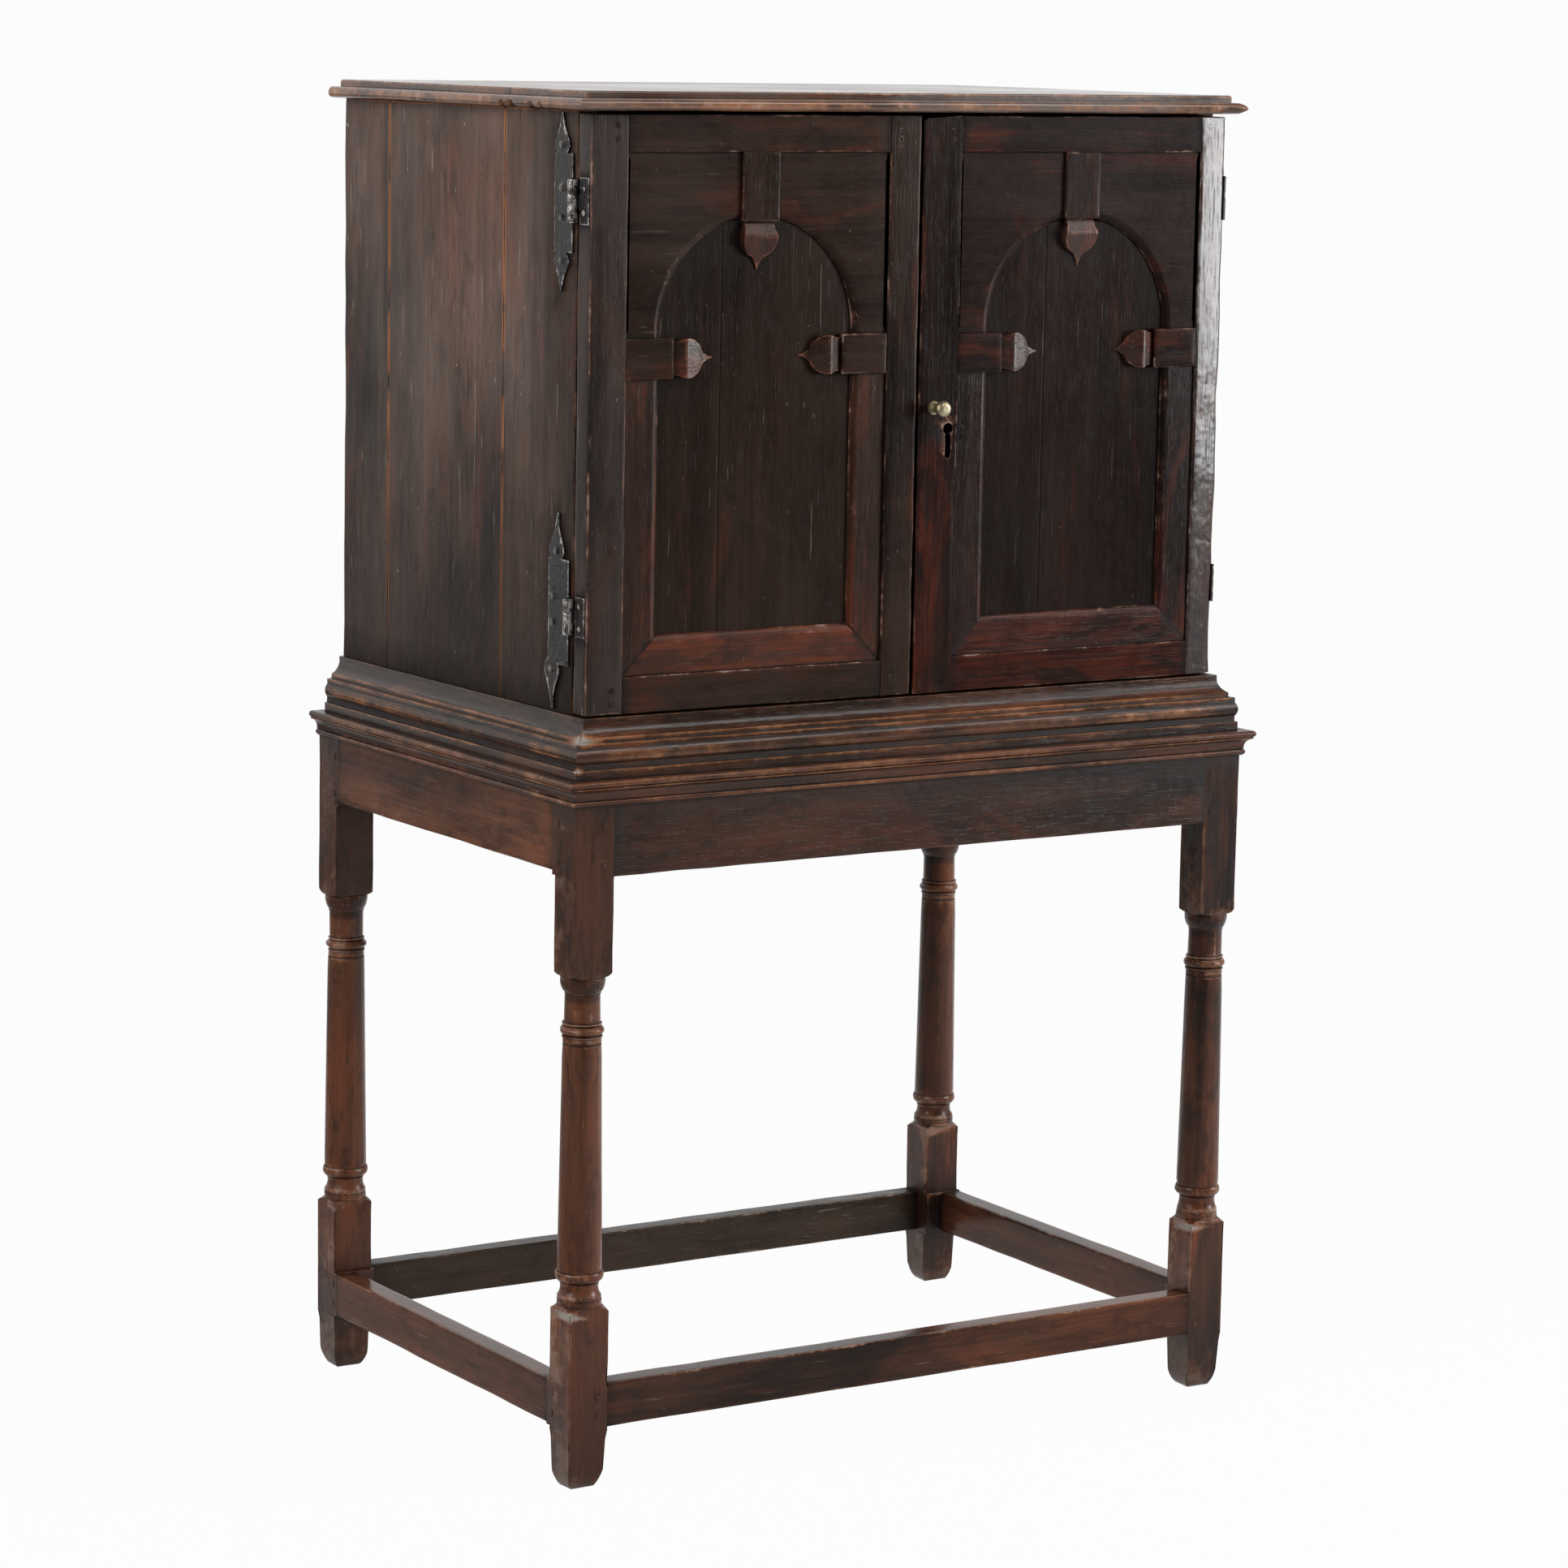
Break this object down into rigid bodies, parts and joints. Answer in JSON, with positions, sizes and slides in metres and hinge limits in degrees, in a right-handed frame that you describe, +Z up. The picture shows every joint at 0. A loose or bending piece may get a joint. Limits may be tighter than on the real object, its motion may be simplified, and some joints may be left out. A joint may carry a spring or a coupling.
{
  "type": "cabinet on stand",
  "caption": "Boarded cabinet with two arcaded panelled doors on a joined stand with turned legs, frieze rails and low stretchers; the doors swing on iron side hinges.",
  "frame": {"origin": "floor level, centre of the plan's bounding box", "axes": "+Z up; the doors face -Y; +X towards the door with the knob and keyhole"},
  "size_m": [0.817, 0.5507, 1.35],
  "materials": {
    "oak_stand": "waxed dark oak, reddish-brown, worn paler on the edges",
    "oak_case": "waxed oak gone nearly black, fine pale scratches along the boards",
    "oak_mouldings": "waxed dark oak with orange-brown wear on the rounds",
    "oak_left_door": "waxed oak gone nearly black",
    "oak_right_door": "waxed dark oak, redder than the left door",
    "oak_inside": "unpolished old oak",
    "oak_pegs": "end grain, darkened",
    "wrought_iron": "blackened wrought iron, worn grey on the edges",
    "knob_brass": "pale aged brass, softly polished"
  },
  "bodies": {
    "frame": {"leg_front_left": "oak_stand", "leg_front_right": "oak_stand", "leg_back_left": "oak_stand", "leg_back_right": "oak_stand", "rail_front": "oak_stand", "rail_back": "oak_stand", "rail_left": "oak_stand", "rail_right": "oak_stand", "stretcher_front": "oak_stand", "stretcher_back": "oak_stand", "stretcher_left": "oak_stand", "stretcher_right": "oak_stand", "stand_pegs": "oak_pegs", "stand_moulding_front": "oak_stand", "stand_moulding_left": "oak_stand", "stand_moulding_right": "oak_stand", "plinth_front": "oak_case", "base_moulding_front": "oak_mouldings", "base_moulding_left": "oak_mouldings", "base_moulding_right": "oak_mouldings", "side_left": "oak_case", "side_right": "oak_case", "back_boards": "oak_inside", "bottom_board": "oak_inside", "shelf": "oak_inside", "shelf_cleats": "oak_inside", "top_boards": "oak_mouldings", "case_nails": "wrought_iron", "left_case_leaves": "wrought_iron", "left_hinge_pins": "wrought_iron", "right_case_leaves": "wrought_iron", "right_hinge_pins": "wrought_iron"},
    "left_door": {"left_hinge_stile": "oak_left_door", "left_meeting_stile": "oak_left_door", "left_top_rail": "oak_left_door", "left_bottom_rail": "oak_left_door", "left_panel": "oak_left_door", "left_spandrel": "oak_left_door", "left_mouldings": "oak_left_door", "left_blocks": "wrought_iron", "left_drops": "oak_left_door", "left_door_pegs": "oak_pegs", "door_staples": "wrought_iron", "left_door_leaves": "wrought_iron"},
    "right_door": {"right_hinge_stile": "oak_right_door", "right_meeting_stile": "oak_right_door", "right_top_rail": "oak_right_door", "right_bottom_rail": "oak_right_door", "right_panel": "oak_right_door", "right_spandrel": "oak_right_door", "right_mouldings": "oak_right_door", "right_blocks": "wrought_iron", "right_drops": "oak_right_door", "right_door_pegs": "oak_pegs", "knob": "knob_brass", "lock_case": "wrought_iron", "right_door_leaves": "wrought_iron"},
    "lock_bolt": {"lock_bolt": "wrought_iron"},
    "slip_bolt": {"slip_bolt": "wrought_iron"}
  },
  "joints": [
    {"name": "left_door_hinge", "type": "hinge", "parent": "frame", "child": "left_door", "pos_m": [-0.3795, -0.21425, 1], "axis": [0, 0, -1], "range_deg": [0, 180]},
    {"name": "right_door_hinge", "type": "hinge", "parent": "frame", "child": "right_door", "pos_m": [0.3795, -0.21425, 1], "axis": [0, 0, 1], "range_deg": [0, 180]},
    {"name": "lock_bolt_slide", "type": "slide", "parent": "right_door", "child": "lock_bolt", "axis": [-1, 0, 0], "range_m": [0, 0.012]},
    {"name": "slip_bolt_slide", "type": "slide", "parent": "left_door", "child": "slip_bolt", "axis": [0, 0, 1], "range_m": [0, 0.012]}
  ]
}
